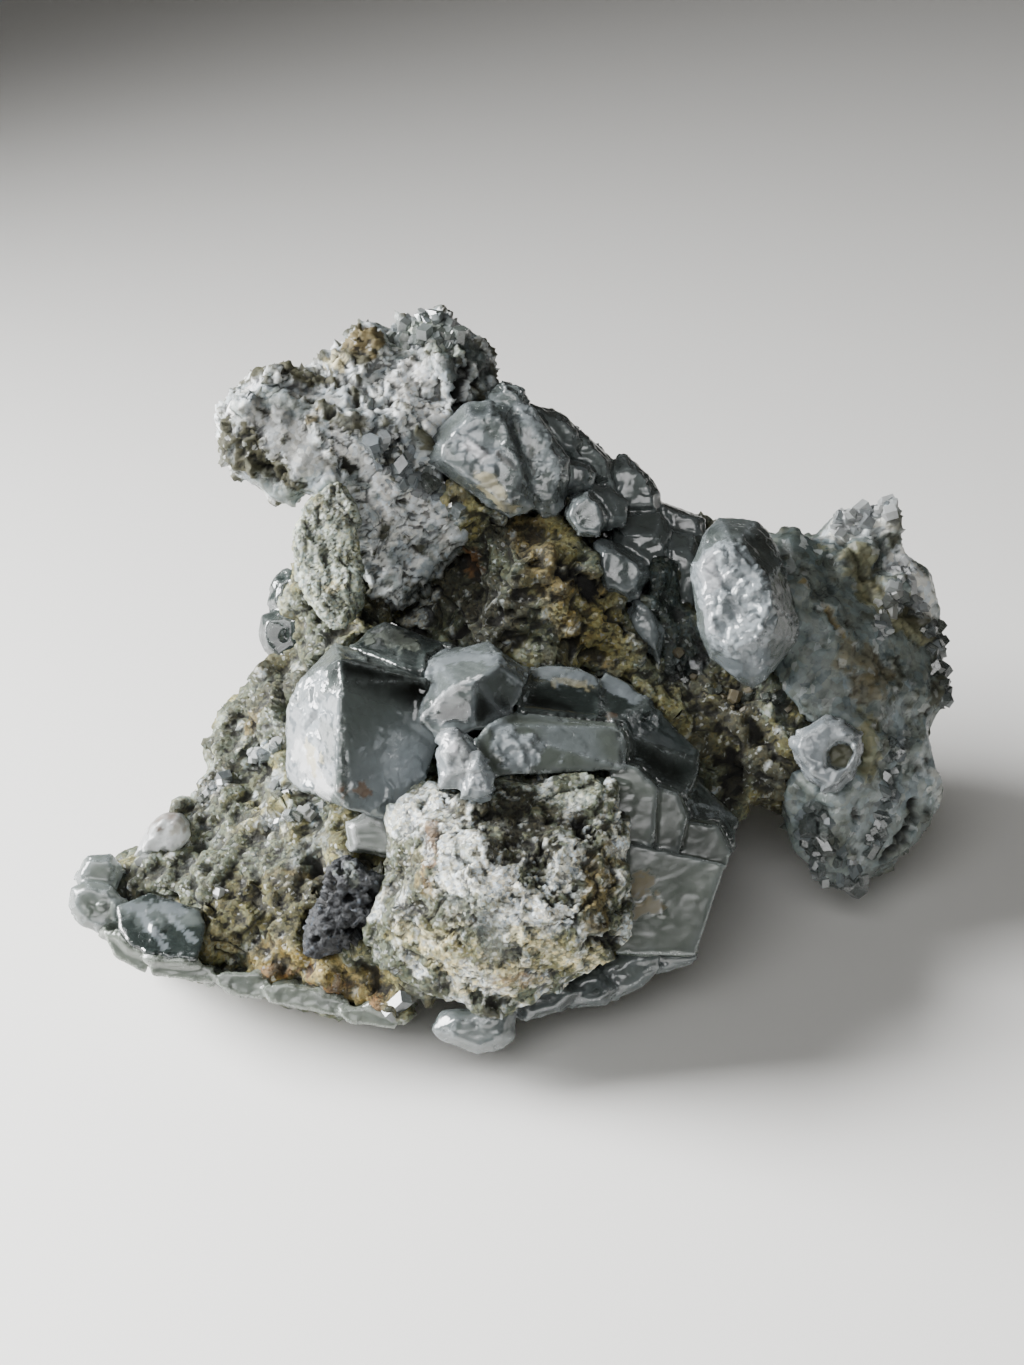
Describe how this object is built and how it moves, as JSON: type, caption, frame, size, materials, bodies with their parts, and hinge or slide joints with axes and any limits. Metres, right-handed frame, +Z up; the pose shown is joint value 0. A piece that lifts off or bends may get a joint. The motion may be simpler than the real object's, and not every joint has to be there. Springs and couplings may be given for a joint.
{
  "type": "mineral specimen, calcite with graphite",
  "caption": "Rough hand-sized rock with grey-green calcite crystals, massive white calcite and a graphite patch, lying on a small flat spot.",
  "frame": {"origin": "on the table, under the middle of the specimen's bounding box", "axes": "+X along the specimen's length, to the right as seen from its crystal front; +Y away from that front; +Z up"},
  "size_m": [0.0905, 0.0641, 0.0577],
  "materials": {
    "schist": "rough, fine fibrous grain",
    "white_calcite": "sugary, sparkling",
    "grey_calcite": "waxy, half clear",
    "dark_crystal": "glassy, nearly opaque",
    "pale_crystal": "glassy, milky",
    "ice_crystal": "glassy, wrinkled faces",
    "stained_crystal": "milky with an orange stain",
    "graphite": "metallic, flaky"
  },
  "bodies": {
    "root": {"matrix_rock": "schist", "white_calcite_arm": "white_calcite", "schist_flake": "schist", "front_rock_block": "schist", "right_calcite_block": "grey_calcite", "graphite_patch": "graphite", "left_front_crystal": "dark_crystal", "back_left_crystal": "dark_crystal", "middle_crystals": "dark_crystal", "dark_plate_crystals": "dark_crystal", "pale_plate_crystals": "pale_crystal", "block_top_crystals": "ice_crystal", "arm_crystals": "ice_crystal", "button_crystal": "ice_crystal", "ridge_crystals": "dark_crystal", "recess_crystals": "ice_crystal", "bright_crystal": "ice_crystal", "knob_crystal": "ice_crystal", "left_edge_crystals": "ice_crystal", "slab_tip_crystals": "pale_crystal", "slab_blue_crystals": "pale_crystal", "slab_edge_plates": "pale_crystal", "slab_pale_crystal": "pale_crystal", "orange_stained_crystal": "stained_crystal", "base_fringe_crystals": "pale_crystal"}
  },
  "joints": []
}
